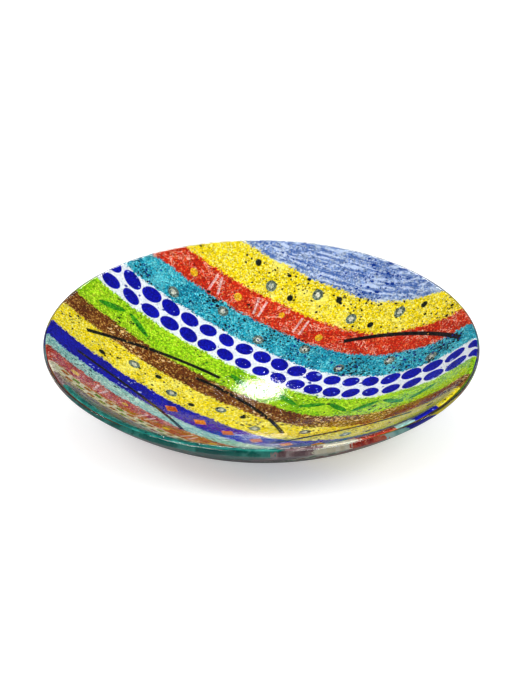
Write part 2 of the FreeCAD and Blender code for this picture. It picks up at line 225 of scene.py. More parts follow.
grain = {  # every scale is in features to the metre
    "cloudScale": 48.0,
    "fineCloudScale": 210.0,
    "shadeScale": 420.0,
    "shadeRange": (0.36, 0.62),
    "thinScale": 27.0,
    "thinRange": (0.55, 0.7),
    "streakScale": 320.0,
    "streakDrawn": 0.07,  # how much a streak is drawn out along the flow
    "streakDark": (0.52, 0.60),
    "streakLight": (0.47, 0.38),
    "fibreScale": 115.0,
    "fibreWidth": (0.024, 0.008),
    "fibrePatchScale": 90.0,
    "fibrePatchRange": (0.47, 0.53),
    "speckDrawn": 0.72,
    "speckSizes": ((1.0, 0.06), (2.1, 0.12)),  # times the speck scale, smallest reach of a speck
    "speckVaries": 0.26,
    "swarmScale": 24.0,
    "swarmRange": (0.46, 0.62, -0.5, 1.0),
    "wobbleScale": 520.0,
    "wobble": 0.22,
    "poolScale": 62.0,
    "poolDeep": (0.48, 0.40, 0.0, 0.45),
    "poolPale": (0.52, 0.62, 0.0, 0.7),
    "meltShare": 0.82,
}


def crushedGlass():  # melted grain of one colour, with specks, fibres, veils and streaks
    tree, given, out = newGroup(
        "crushedGlass",
        [
            ("Vector", vectorSocket, None),
            ("Flow", vectorSocket, None),
            ("Body", colourSocket, None),
            ("Deep", colourSocket, None),
            ("Pale", colourSocket, None),
            ("Speck", colourSocket, None),
            ("Fibre", colourSocket, None),
            ("Grain Scale", floatSocket, layer["stripGrain"]),
            ("Deep Amount", floatSocket, 0.3),
            ("Pale Amount", floatSocket, 0.2),
            ("Cloud", floatSocket, 0.5),
            ("Veil", floatSocket, 0.2),
            ("Shade", floatSocket, 0.6),
            ("Speck Amount", floatSocket, 0.15),
            ("Speck Scale", floatSocket, layer["speckScale"]),
            ("Swarm", floatSocket, 0.3),
            ("Fibre Amount", floatSocket, 0.0),
            ("Streak", floatSocket, 0.0),
            ("Melt Start", floatSocket, layer["meltStart"]),
            ("Melt End", floatSocket, layer["meltEnd"]),
        ],
        [("Color", colourSocket), ("Height", floatSocket)],
    )
    place = given["Vector"]
    cloud = noise(tree, place, grain["cloudScale"], 4.0, 0.62)
    fineCloud = noise(tree, place, grain["fineCloudScale"], 2.0, 0.5)
    distance, chance, other = cells(tree, place, given["Grain Scale"])
    drift = maths(tree, "MULTIPLY", maths(tree, "SUBTRACT", cloud, 0.5), given["Cloud"])
    deepMask = maths(tree, "LESS_THAN", chance, maths(tree, "ADD", given["Deep Amount"], drift))
    paleMask = maths(tree, "LESS_THAN", other, maths(tree, "SUBTRACT", given["Pale Amount"], drift))
    softly = rise(tree, fineCloud, 0.3, 0.7, 0.6, 1.0)
    colour = blendColour(tree, maths(tree, "MULTIPLY", deepMask, softly), given["Body"], given["Deep"])
    colour = blendColour(tree, paleMask, colour, given["Pale"])
    shade = noise(tree, place, grain["shadeScale"], 2.0, 0.6)  # light caught between grains
    shade = rise(tree, shade, *grain["shadeRange"], given["Shade"], 1.0)
    colour = blendColour(tree, 1.0, colour, shade, "MULTIPLY")
    thin = noise(tree, place, grain["thinScale"], 3.0, 0.55, 0.8)  # where the grain was laid thin
    veil = maths(tree, "MULTIPLY", rise(tree, thin, *grain["thinRange"]), given["Veil"])
    colour = blendColour(tree, veil, colour, given["Pale"])

    stretch = put(tree, "ShaderNodeMapping")
    stretch.inputs["Scale"].default_value = (grain["streakDrawn"], 1.0, 1.0)
    feed(tree, stretch.inputs["Vector"], given["Flow"])
    streak = noise(tree, stretch.outputs[0], grain["streakScale"], 3.0, 0.6, 0.6)
    dark = maths(tree, "MULTIPLY", rise(tree, streak, *grain["streakDark"]), given["Streak"])
    light = maths(tree, "MULTIPLY", rise(tree, streak, *grain["streakLight"]), given["Streak"])
    colour = blendColour(tree, dark, colour, given["Deep"])
    colour = blendColour(tree, light, colour, given["Pale"])

    line = maths(tree, "SUBTRACT", noise(tree, place, grain["fibreScale"], 1.5, 0.5, 1.8), 0.5)
    line = rise(tree, maths(tree, "ABSOLUTE", line), *grain["fibreWidth"])
    patch = noise(tree, place, grain["fibrePatchScale"], 1.0)
    patch = rise(tree, patch, *grain["fibrePatchRange"])
    fibre = maths(tree, "MULTIPLY", maths(tree, "MULTIPLY", line, patch), given["Fibre Amount"])
    colour = blendColour(tree, fibre, colour, given["Fibre"])

    drawn = put(tree, "ShaderNodeMapping")  # specks pulled a little along the flow, in swarms
    drawn.inputs["Scale"].default_value = (grain["speckDrawn"], 1.0, 1.0)
    feed(tree, drawn.inputs["Vector"], given["Flow"])
    swarm = noise(tree, drawn.outputs[0], grain["swarmScale"], 3.0, 0.6)
    swarm = rise(tree, swarm, *grain["swarmRange"])
    swarm = maths(tree, "MULTIPLY_ADD", swarm, given["Swarm"], given["Speck Amount"])
    wobble = noise(tree, place, grain["wobbleScale"], 1.0)
    masks = []
    for times, smallest in grain["speckSizes"]:
        speckScale = maths(tree, "MULTIPLY", given["Speck Scale"], times)
        speckDistance, speckChance, speckSize = cells(tree, drawn.outputs[0], speckScale)
        reach = maths(tree, "MULTIPLY_ADD", speckSize, grain["speckVaries"], smallest)
        reach = maths(tree, "MULTIPLY_ADD", wobble, grain["wobble"], reach)
        inSpeck = maths(tree, "LESS_THAN", speckDistance, reach)
        masks.append(maths(tree, "MULTIPLY", inSpeck, maths(tree, "LESS_THAN", speckChance, swarm)))
    colour = blendColour(tree, maths(tree, "MAXIMUM", *masks), colour, given["Speck"])

    # on the shelf side the fire has run the grain together into pools
    centred = put(tree, "ShaderNodeVectorMath", operation="SUBTRACT")
    tree.links.new(place, centred.inputs[0])
    centred.inputs[1].default_value = (0.0, 0.0, sphereZ)
    depth = put(tree, "ShaderNodeVectorMath", operation="LENGTH")
    tree.links.new(centred.outputs[0], depth.inputs[0])
    run = noise(tree, place, grain["poolScale"], 3.0, 0.5, 1.1)
    dark = rise(tree, run, *grain["poolDeep"])
    light = rise(tree, run, *grain["poolPale"])
    pool = blendColour(tree, light, blendColour(tree, dark, given["Body"], given["Deep"]), given["Pale"])
    start, end = given["Melt Start"], given["Melt End"]
    melted = rise(tree, depth.outputs["Value"], start, end, 0.0, grain["meltShare"])
    colour = blendColour(tree, melted, colour, pool)
    feed(tree, out["Color"], colour)
    feed(tree, out["Height"], maths(tree, "MULTIPLY_ADD", distance, -0.5, fineCloud))
    return tree


strayEdge = {"slowScale": 30.0, "quickScale": 170.0, "quickShare": 0.22, "grainScale": 700.0}


def meltedEdge():  # where grain of the next strip has strayed over a strip's edge
    tree, given, out = newGroup(
        "meltedEdge",
        [
            ("Vector", vectorSocket, None),
            ("Across", floatSocket, None),
            ("Upper Edge", floatSocket, 0.01),
            ("Lower Edge", floatSocket, -0.01),
            ("Sway", floatSocket, layer["sway"]),
            ("Crumble", floatSocket, layer["crumble"]),
            ("Grain Scale", floatSocket, strayEdge["grainScale"]),
        ],
        [("Upper Mask", floatSocket), ("Lower Mask", floatSocket)],
    )
    place = given["Vector"]
    slow = maths(tree, "SUBTRACT", noise(tree, place, strayEdge["slowScale"], 2.0, 0.5), 0.5)
    quick = maths(tree, "SUBTRACT", noise(tree, place, strayEdge["quickScale"], 2.0, 0.6), 0.5)
    sway = maths(tree, "MULTIPLY_ADD", quick, strayEdge["quickShare"], slow)
    sway = maths(tree, "MULTIPLY", sway, given["Sway"])
    _, chance, _ = cells(tree, place, given["Grain Scale"])
    loose = maths(tree, "MULTIPLY", maths(tree, "SUBTRACT", chance, 0.5), given["Crumble"])
    here = maths(tree, "ADD", maths(tree, "ADD", given["Across"], sway), loose)
    feed(tree, out["Upper Mask"], maths(tree, "GREATER_THAN", here, given["Upper Edge"]))
    feed(tree, out["Lower Mask"], maths(tree, "LESS_THAN", here, given["Lower Edge"]))
    return tree


waveGroup, grainGroup, edgeGroup = waveField(), crushedGlass(), meltedEdge()
print("bowl: shared shader groups made")


def rgb(red, green, blue):
    return (red, green, blue, 1.0)


inkBlack = rgb(0.012, 0.014, 0.016)
recipes = {  # body, deep, pale, speck, fibre, then the amounts
    "lavender_strip": dict(
        colours=(
            rgb(0.30, 0.42, 0.72), rgb(0.05, 0.13, 0.42), rgb(0.66, 0.74, 0.88),
            rgb(0.02, 0.06, 0.30), rgb(0.8, 0.8, 0.9),
        ),
        deep=0.24, pale=0.28, cloud=1.0, veil=0.4, speck=0.06, swarm=0.45, streak=0.75,
    ),
    "far_yellow_strip": dict(
        colours=(
            rgb(0.97, 0.78, 0.012), rgb(0.46, 0.36, 0.012), rgb(0.99, 0.93, 0.30),
            inkBlack, rgb(0.9, 0.8, 0.4),
        ),
        deep=0.20, pale=0.22, cloud=0.5, veil=0.5, shade=0.62, speck=0.05, swarm=0.22,
    ),
    "far_red_strip": dict(
        colours=(
            rgb(0.74, 0.050, 0.016), rgb(0.32, 0.015, 0.010), rgb(0.92, 0.24, 0.09),
            inkBlack, rgb(0.96, 0.66, 0.50),
        ),
        deep=0.22, pale=0.16, cloud=0.7, speck=0.02, swarm=0.10, fibre=0.85,
    ),
    "turquoise_strip": dict(
        colours=(
            rgb(0.04, 0.50, 0.64), rgb(0.01, 0.12, 0.26), rgb(0.22, 0.76, 0.82),
            inkBlack, rgb(0.5, 0.8, 0.8),
        ),
        deep=0.34, pale=0.22, cloud=1.3, veil=0.3, speck=0.16, swarm=0.95,
    ),
    "white_strip": dict(
        colours=(
            rgb(0.86, 0.88, 0.90), rgb(0.62, 0.66, 0.72), rgb(0.95, 0.95, 0.95),
            rgb(0.1, 0.12, 0.4), rgb(0.6, 0.1, 0.05),
        ),
        deep=0.10, pale=0.3, cloud=0.3, shade=0.86, speck=0.06, swarm=0.10, speckScale=170.0,
    ),
    "lime_strip": dict(
        colours=(
            rgb(0.42, 0.76, 0.01), rgb(0.09, 0.37, 0.01), rgb(0.74, 0.93, 0.06),
            inkBlack, rgb(0.8, 0.9, 0.5),
        ),
        deep=0.26, pale=0.26, cloud=1.0, veil=0.3, speck=0.02, swarm=0.22,
    ),
    "amber_strip": dict(
        colours=(
            rgb(0.26, 0.085, 0.018), rgb(0.07, 0.025, 0.012), rgb(0.72, 0.38, 0.09),
            rgb(0.85, 0.62, 0.28), rgb(0.9, 0.6, 0.2),
        ),
        deep=0.36, pale=0.14, cloud=0.9, speck=0.12, swarm=0.35,
    ),
    "near_yellow_strip": dict(
        colours=(
            rgb(0.97, 0.80, 0.012), rgb(0.50, 0.40, 0.012), rgb(0.99, 0.94, 0.28),
            inkBlack, rgb(0.9, 0.8, 0.4),
        ),
        deep=0.18, pale=0.24, cloud=0.5, veil=0.6, shade=0.62, speck=0.04, swarm=0.20,
    ),
    "cobalt_strip": dict(
        colours=(
            rgb(0.006, 0.008, 0.46), rgb(0.004, 0.005, 0.22), rgb(0.015, 0.024, 0.70),
            rgb(0.40, 0.48, 0.85), rgb(0.4, 0.5, 0.9),
        ),
        deep=0.22, pale=0.24, cloud=0.6, speck=0.02, swarm=0.08,
    ),
    "aqua_strip": dict(
        colours=(
            rgb(0.40, 0.72, 0.66), rgb(0.10, 0.42, 0.42), rgb(0.72, 0.88, 0.82),
            inkBlack, rgb(0.9, 0.9, 0.9),
        ),
        deep=0.26, pale=0.28, cloud=0.8, veil=0.4, speck=0.04, swarm=0.35, streak=0.35,
    ),
    "near_red_strip": dict(
        colours=(
            rgb(0.60, 0.050, 0.028), rgb(0.19, 0.025, 0.022), rgb(0.88, 0.25, 0.13),
            inkBlack, rgb(0.94, 0.64, 0.52),
        ),
        deep=0.32, pale=0.18, cloud=0.9, speck=0.03, swarm=0.16, fibre=0.75,
    ),
    "cream_strip": dict(
        colours=(
            rgb(0.84, 0.78, 0.58), rgb(0.58, 0.50, 0.30), rgb(0.94, 0.92, 0.82),
            rgb(0.16, 0.26, 0.06), rgb(0.6, 0.1, 0.05),
        ),
        deep=0.20, pale=0.3, cloud=0.5, veil=0.3, speck=0.03, swarm=0.08,
    ),
    "mauve_strip": dict(
        colours=(
            rgb(0.32, 0.20, 0.22), rgb(0.14, 0.09, 0.09), rgb(0.60, 0.48, 0.46),
            rgb(0.20, 0.24, 0.06), rgb(0.8, 0.7, 0.7),
        ),
        deep=0.26, pale=0.22, cloud=0.6, speck=0.03, swarm=0.12, streak=0.8,
    ),
    "teal_strip": dict(
        colours=(
            rgb(0.015, 0.26, 0.22), rgb(0.006, 0.08, 0.10), rgb(0.10, 0.50, 0.42),
            inkBlack, rgb(0.5, 0.8, 0.7),
        ),
        deep=0.34, pale=0.20, cloud=1.2, veil=0.2, speck=0.06, swarm=0.45, streak=0.4,
    ),
}


def useGroup(tree, group, **values):
    node = put(tree, "ShaderNodeGroup", node_tree=group)
    for name, source in values.items():
        feed(tree, node.inputs[name.replace("_", " ")], source)
    return node.outputs


def toned(colour):
    return tuple(layer["tone"] * part ** layer["richness"] for part in colour[:3]) + (1.0,)


def grained(tree, recipe, place, flow, grainScale):
    body, deep, pale, speck, fibre = (toned(colour) for colour in recipe["colours"])
    return useGroup(
        tree, grainGroup,
        Vector=place, Flow=flow, Body=body, Deep=deep, Pale=pale, Speck=speck, Fibre=fibre,
        Grain_Scale=grainScale, Deep_Amount=recipe["deep"], Pale_Amount=recipe["pale"],
        Cloud=recipe["cloud"], Veil=recipe.get("veil", 0.0), Shade=recipe.get("shade", layer["shade"]),
        Speck_Amount=recipe["speck"], Speck_Scale=recipe.get("speckScale", layer["speckScale"]),
        Swarm=recipe.get("swarm", 0.0), Fibre_Amount=recipe.get("fibre", 0.0),
        Streak=recipe.get("streak", 0.0),
    )


def glassColourMaterial(name):
    material, tree, shader = newMaterial(name)
    shader.inputs["Specular IOR Level"].default_value = 0.0  # fused face to face: no air between
    place = put(tree, "ShaderNodeTexCoord").outputs["Object"]
    field = useGroup(tree, waveGroup, Vector=place)
    return material, tree, shader, place, field


def finishColour(tree, shader, colour, height):
    tree.links.new(colour, shader.inputs["Base Color"])
    feed(tree, shader.inputs["Roughness"], rise(tree, height, 0.0, 1.0, *layer["roughness"]))
    bump = put(tree, "ShaderNodeBump")
    bump.inputs["Strength"].default_value = layer["bump"]
    bump.inputs["Distance"].default_value = layer["bumpDepth"]
    tree.links.new(height, bump.inputs["Height"])
    tree.links.new(bump.outputs[0], shader.inputs["Normal"])


def stripMaterials():
    edge = wave["firstEdge"]
    for index, (name, width) in enumerate(strips):
        upper, lower = edge, edge - width
        edge = lower
        material, tree, shader, place, field = glassColourMaterial(name + "Glass")
        own = grained(tree, recipes[name], place, field["Flow"], layer["stripGrain"])
        masks = useGroup(
            tree, edgeGroup, Vector=place, Across=field["Across"],
            Upper_Edge=upper, Lower_Edge=lower, Sway=layer["sway"], Crumble=layer["crumble"],
        )
        colour = own["Color"]
        if index > 0:
            neighbour = recipes[strips[index - 1][0]]
            above = grained(tree, neighbour, place, field["Flow"], layer["stripGrain"])
            colour = blendColour(tree, masks["Upper Mask"], colour, above["Color"])
        if index < len(strips) - 1:
            neighbour = recipes[strips[index + 1][0]]
            below = grained(tree, neighbour, place, field["Flow"], layer["stripGrain"])
            colour = blendColour(tree, masks["Lower Mask"], colour, below["Color"])
        finishColour(tree, shader, colour, own["Height"])
        dress(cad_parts[name].data, material)


inlays = {
    "black_stringers": dict(
        colours=(
            rgb(0.014, 0.015, 0.016), rgb(0.004, 0.004, 0.005), rgb(0.06, 0.05, 0.045),
            rgb(0.15, 0.1, 0.05), rgb(0.1, 0.1, 0.1),
        ),
        deep=0.3, pale=0.12, cloud=0.5, speck=0.03,
    ),
    "cobalt_pebbles": dict(
        colours=(
            rgb(0.006, 0.008, 0.46), rgb(0.004, 0.005, 0.22), rgb(0.015, 0.024, 0.70),
            rgb(0.3, 0.4, 0.8), rgb(0.4, 0.5, 0.9),
        ),
        deep=0.22, pale=0.2, cloud=0.8, speck=0.02,
    ),
    "green_slivers": dict(
        colours=(
            rgb(0.04, 0.34, 0.015), rgb(0.015, 0.16, 0.01), rgb(0.16, 0.55, 0.04),
            inkBlack, rgb(0.5, 0.8, 0.3),
        ),
        deep=0.25, pale=0.2, cloud=0.7, speck=0.05, streak=0.4,
    ),
    "red_tesserae": dict(
        colours=(
            rgb(0.45, 0.07, 0.03), rgb(0.22, 0.03, 0.02), rgb(0.70, 0.22, 0.10),
            inkBlack, rgb(0.9, 0.6, 0.4),
        ),
        deep=0.25, pale=0.2, cloud=0.7, speck=0.03, fibre=0.3,
    ),
    "green_tesserae": dict(
        colours=(
            rgb(0.12, 0.26, 0.04), rgb(0.05, 0.12, 0.02), rgb(0.34, 0.46, 0.14),
            inkBlack, rgb(0.6, 0.7, 0.3),
        ),
        deep=0.25, pale=0.22, cloud=0.7, speck=0.04,
    ),
    "pink_rungs": dict(
        colours=(
            rgb(0.84, 0.50, 0.46), rgb(0.66, 0.28, 0.25), rgb(0.95, 0.78, 0.74),
            rgb(0.6, 0.1, 0.1), rgb(0.95, 0.9, 0.9),
        ),
        deep=0.2, pale=0.3, cloud=0.5, speck=0.03, streak=0.3,
    ),
    "yellow_spots": dict(
        colours=(
            rgb(0.93, 0.56, 0.01), rgb(0.62, 0.26, 0.01), rgb(0.98, 0.80, 0.12),
            rgb(0.3, 0.15, 0.01), rgb(0.95, 0.9, 0.5),
        ),
        deep=0.22, pale=0.28, cloud=0.7, speck=0.05,
    ),
    "murrine_rings": dict(
        colours=(
            rgb(0.16, 0.22, 0.20), rgb(0.05, 0.08, 0.09), rgb(0.42, 0.50, 0.40),
            rgb(0.02, 0.03, 0.03), rgb(0.7, 0.7, 0.6),
        ),
        deep=0.3, pale=0.25, cloud=0.8, speck=0.08,
    ),
    "murrine_cores": dict(
        colours=(
            rgb(0.72, 0.72, 0.60), rgb(0.36, 0.42, 0.34), rgb(0.90, 0.90, 0.84),
            rgb(0.1, 0.2, 0.3), rgb(0.9, 0.9, 0.9),
        ),
        deep=0.25, pale=0.3, cloud=0.6, speck=0.06,
    ),
    "black_spots": dict(
        colours=(
            rgb(0.014, 0.018, 0.02), rgb(0.004, 0.005, 0.006), rgb(0.05, 0.07, 0.06),
            rgb(0.1, 0.12, 0.1), rgb(0.1, 0.1, 0.1),
        ),
        deep=0.3, pale=0.16, cloud=0.6, speck=0.05,
    ),
    "orange_diamonds": dict(
        colours=(
            rgb(0.80, 0.17, 0.015), rgb(0.50, 0.07, 0.01), rgb(0.95, 0.40, 0.06),
            inkBlack, rgb(0.95, 0.7, 0.4),
        ),
        deep=0.22, pale=0.22, cloud=0.7, speck=0.03,
    ),
}


def inlayMaterials():
    for name, recipe in inlays.items():
        material, tree, shader, place, field = glassColourMaterial(name + "Glass")
        own = grained(tree, recipe, place, field["Flow"], layer["inlayGrain"])
        finishColour(tree, shader, own["Color"], own["Height"])
        dress(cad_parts[name].data, material)


stripMaterials()
inlayMaterials()
print("bowl: strips and inlays coloured")


# loose crumbs of glass that sank into the colours, strewn by Geometry Nodes
crumbBed = {
    "steps": 120,
    "rows": 6,
    "length": 0.52,
    "reach": 0.192,  # the crumbs stop short of the lip
    "flatness": 0.42,
    "narrowness": 0.74,
    "swarmScale": 26.0,
    "thickRange": (0.44, 0.64, 0.08, 1.0),
    "sizeLean": 2.2,  # many small ones, few large
}
crumbLook = dict(deep=0.3, pale=0.14, cloud=0.6, speck=0.0)
crumbs = {  # where: strip, crumbs to the square metre, smallest and largest half width
    "blackCrumbs": dict(
        colours=(
            rgb(0.012, 0.014, 0.016), rgb(0.003, 0.003, 0.004), rgb(0.07, 0.06, 0.05),
            inkBlack, inkBlack,
        ),
        slot="black_spots", seed=11,
        where=(
            ("far_yellow_strip", 38000.0, 0.0004, 0.0019),
            ("turquoise_strip", 120000.0, 0.0004, 0.0017),
            ("lime_strip", 16000.0, 0.0004, 0.0014),
            ("near_yellow_strip", 38000.0, 0.0004, 0.0019),
            ("aqua_strip", 30000.0, 0.0004, 0.0014),
            ("teal_strip", 30000.0, 0.0004, 0.0015),
        ),
    ),
    "cobaltCrumbs": dict(
        colours=(
            rgb(0.01, 0.03, 0.36), rgb(0.005, 0.01, 0.14), rgb(0.04, 0.16, 0.60),
            inkBlack, inkBlack,
        ),
        slot="cobalt_pebbles", seed=23,
        where=(
            ("lavender_strip", 34000.0, 0.0004, 0.0017),
            ("turquoise_strip", 50000.0, 0.0005, 0.0020),
            ("white_strip", 6000.0, 0.0004, 0.0012),
        ),
    ),
    "goldCrumbs": dict(
        colours=(
            rgb(0.86, 0.50, 0.10), rgb(0.55, 0.26, 0.04), rgb(0.96, 0.82, 0.46),
            inkBlack, inkBlack,
        ),
        slot="yellow_spots", seed=37,
        where=(
            ("amber_strip", 60000.0, 0.0004, 0.0014),
            ("near_red_strip", 9000.0, 0.0004, 0.0013),
            ("far_red_strip", 9000.0, 0.0004, 0.0013),
        ),
    ),
}


def onWave(edge, along):  # the place that far along the wave and across it
    side = -1 if along < 0 else 1
    radius = wave["bend"] - side * edge
    turn = along / radius
    x, y = radius * math.sin(turn), side * (wave["bend"] - radius * math.cos(turn))
    spin = math.radians(wave["turn"])
    return x * math.cos(spin) - y * math.sin(spin), x * math.sin(spin) + y * math.cos(spin)


def stripPatch(low, high):  # the upper face of a strip, as far as the crumbs go
    data = bmesh.new()
    steps, rows = crumbBed["steps"], crumbBed["rows"]
    grid = []
    for i in range(steps + 1):
        along = (i / steps - 0.5) * crumbBed["length"]
        line = []
        for j in range(rows + 1):
            x, y = onWave(low + (high - low) * j / rows, along)
            inside = math.hypot(x, y) < crumbBed["reach"]
            z = sphereZ - math.sqrt(max(seamSphere**2 - x * x - y * y, 0.0))
            line.append(data.verts.new((x, y, z)) if inside else None)
        grid.append(line)
    for i in range(steps):
        for j in range(rows):
            corners = (grid[i][j], grid[i + 1][j], grid[i + 1][j + 1], grid[i][j + 1])
            if None not in corners:
                data.faces.new(corners)
    loose = [vertex for vertex in data.verts if not vertex.link_faces]
    bmesh.ops.delete(data, geom=loose, context="VERTS")
    mesh = bpy.data.meshes.new("crumbBed")
    data.to_mesh(mesh)
    data.free()
    return mesh


def strewnCrumbs():
    tree = bpy.data.node_groups.new("strewnCrumbs", "GeometryNodeTree")
    for label, kind, value in (
        ("Geometry", "NodeSocketGeometry", None),
        ("Density", floatSocket, 9000.0),
        ("Smallest", floatSocket, 0.0005),
        ("Largest", floatSocket, 0.0015),
        ("Flatness", floatSocket, crumbBed["flatness"]),
        ("Swarm Scale", floatSocket, crumbBed["swarmScale"]),
        ("Seed", "NodeSocketInt", 1),
        ("Glass", "NodeSocketMaterial", None),
    ):
        item = tree.interface.new_socket(label, in_out="INPUT", socket_type=kind)
        if value is not None:
            item.default_value = value
    tree.interface.new_socket("Geometry", in_out="OUTPUT", socket_type="NodeSocketGeometry")
    given, out = tree.nodes.new("NodeGroupInput").outputs, tree.nodes.new("NodeGroupOutput").inputs
    swarm = put(tree, "ShaderNodeTexNoise")
    feed(tree, swarm.inputs["Scale"], given["Swarm Scale"])
    feed(tree, swarm.inputs["Detail"], 2.0)
    thick = rise(tree, swarm.outputs["Fac"], *crumbBed["thickRange"])
    scatter = put(tree, "GeometryNodeDistributePointsOnFaces", distribute_method="RANDOM")
    feed(tree, scatter.inputs["Mesh"], given["Geometry"])
    feed(tree, scatter.inputs["Density"], maths(tree, "MULTIPLY", given["Density"], thick))
    feed(tree, scatter.inputs["Seed"], given["Seed"])
    chip = put(tree, "GeometryNodeMeshIcoSphere")
    chip.inputs["Radius"].default_value = 1.0
    chip.inputs["Subdivisions"].default_value = 1
    pressed = put(tree, "GeometryNodeTransform")
    squash = put(tree, "ShaderNodeCombineXYZ")
    squash.inputs[0].default_value, squash.inputs[1].default_value = 1.0, crumbBed["narrowness"]
    feed(tree, squash.inputs[2], given["Flatness"])
    feed(tree, pressed.inputs["Geometry"], chip.outputs["Mesh"])
    feed(tree, pressed.inputs["Scale"], squash.outputs[0])
    chance = put(tree, "FunctionNodeRandomValue", data_type="FLOAT")
    feed(tree, chance.inputs["Seed"], given["Seed"])
    lean = maths(tree, "POWER", chance.outputs[1], crumbBed["sizeLean"])
    size = maths(tree, "SUBTRACT", given["Largest"], given["Smallest"])
    size = maths(tree, "ADD", maths(tree, "MULTIPLY", size, lean), given["Smallest"])
    spin = put(tree, "FunctionNodeRandomValue", data_type="FLOAT")
    spin.inputs[2].default_value, spin.inputs[3].default_value = 0.0, 6.2831
    feed(tree, spin.inputs["Seed"], maths(tree, "ADD", given["Seed"], 5.0))
    twist = put(tree, "ShaderNodeCombineXYZ")
    feed(tree, twist.inputs[2], spin.outputs[1])
    turned = put(tree, "FunctionNodeRotateRotation", rotation_space="LOCAL")
    feed(tree, turned.inputs["Rotation"], scatter.outputs["Rotation"])
    feed(tree, turned.inputs["Rotate By"], twist.outputs[0])
    place = put(tree, "GeometryNodeInstanceOnPoints")
    feed(tree, place.inputs["Points"], scatter.outputs["Points"])
    feed(tree, place.inputs["Instance"], pressed.outputs["Geometry"])
    feed(tree, place.inputs["Rotation"], turned.outputs[0])
    feed(tree, place.inputs["Scale"], size)
    real = put(tree, "GeometryNodeRealizeInstances")
    feed(tree, real.inputs["Geometry"], place.outputs["Instances"])
    coat = put(tree, "GeometryNodeSetMaterial")
    feed(tree, coat.inputs["Geometry"], real.outputs["Geometry"])
    feed(tree, coat.inputs["Material"], given["Glass"])
    feed(tree, out["Geometry"], coat.outputs["Geometry"])
    return tree


def strewnOn(patch, tree, values):  # the crumbs that the nodes make on a patch, as a mesh
    inputs = [item for item in tree.interface.items_tree if item.in_out == "INPUT"]
    sockets = {item.name: item.identifier for item in inputs}
    bed = placed("crumbBed", patch)
    strewn = bed.modifiers.new("strewn", "NODES")
    strewn.node_group = tree
    for label, value in values.items():
        strewn[sockets[label]] = value
    evaluated = bed.evaluated_get(bpy.context.evaluated_depsgraph_get())
    made = bpy.data.meshes.new_from_object(evaluated)
    bed.modifiers.remove(strewn)
    bpy.data.objects.remove(bed)
    return made


def crumbPieces():
    tree = strewnCrumbs()
    edges, edge = {}, wave["firstEdge"]
    for name, width in strips:
        edges[name] = (edge - width, edge)
        edge -= width
    for name, recipe in crumbs.items():
        material, nodes, shader, place, field = glassColourMaterial(name + "Glass")
        own = grained(nodes, {**crumbLook, **recipe}, place, field["Flow"], layer["crumbGrain"])
        finishColour(nodes, shader, own["Color"], own["Height"])
        together = bmesh.new()
        for order, (strip, density, smallest, largest) in enumerate(recipe["where"]):
            values = {
                "Density": density,
                "Smallest": smallest,
                "Largest": largest,
                "Flatness": crumbBed["flatness"],
                "Seed": recipe["seed"] + order,
                "Glass": material,
            }
            made = strewnOn(stripPatch(*edges[strip]), tree, values)
            together.from_mesh(made)
            bpy.data.meshes.remove(made)
        data = bpy.data.meshes.new(name)
        together.to_mesh(data)
        together.free()
        dress(data, material)
        piece = placed(name, data)
        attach(piece, "root")
        print("bowl:", name, len(data.polygons), "faces")


crumbPieces()


# the clear glass, cap and base in one fired piece
clearGlass = {
    "tint": (0.955, 0.985, 0.975, 1.0),
    "edgeTint": (0.20, 0.36, 0.40, 1.0),  # the lip seen edge on
    "ior": 1.47,
    "segments": 256,
    "wander": 0.00035,
    "swells": ((0.6, 2, 0.7), (0.4, 3, 2.1), (0.25, 7, 0.0)),  # size, times round, start
    "wallSwell": (0.18, 11, 34),
    "inward": 0.5,  # share of the wander that pulls in
    "wallRings": 44,
    "lipRings": 24,
    "footRings": 4,
    "slowScale": 38.0,
    "fineScale": 300.0,
    "ripple": 0.30,
    "pitScale": 430.0,
    "pitShare": 0.4,
    "pitReach": 0.42,
    "pitDepth": 0.3,
    "bump": 0.35,
    "bumpDepth": 0.0008,
    "edgeRange": (0.72, 0.96),
    "shadowTint": (0.97, 0.985, 0.98, 1.0),
}


def profilePoints():  # foot, outer wall, lip, inner wall
    wall, lip, foot = clearGlass["wallRings"], clearGlass["lipRings"], clearGlass["footRings"]
    points = [(footRadius * (1 - i / foot), 0.0) for i in range(foot - 1, -1, -1)]
    startAngle = math.asin(footRadius / outerSphere)
    for i in range(1, wall + 1):
        angle = startAngle + (lipAngle - startAngle) * i / wall
        points.append((outerSphere * math.sin(angle), sphereZ - outerSphere * math.cos(angle)))
    for i in range(1, lip):
        angle = lipAngle - math.pi / 2 + math.pi * i / lip
        points.append((lipCentreR + lipRadius * math.cos(angle), lipZ + lipRadius * math.sin(angle)))
    for i in range(wall, 0, -1):
        angle = lipAngle * i / wall
        points.append((innerSphere * math.sin(angle), sphereZ - innerSphere * math.cos(angle)))
    return points


def handWander(angle, radius, height):  # slow uneven pull of the kiln, nothing at the foot
    swell = (radius / bowl["rimRadius"]) ** 3
    slow = sum(size * math.sin(times * angle + start) for size, times, start in clearGlass["swells"])
    size, times, climb = clearGlass["wallSwell"]
    quick = size * math.sin(times * angle + climb * height / bowl["lipRise"])
    return clearGlass["wander"] * swell * (slow + quick)


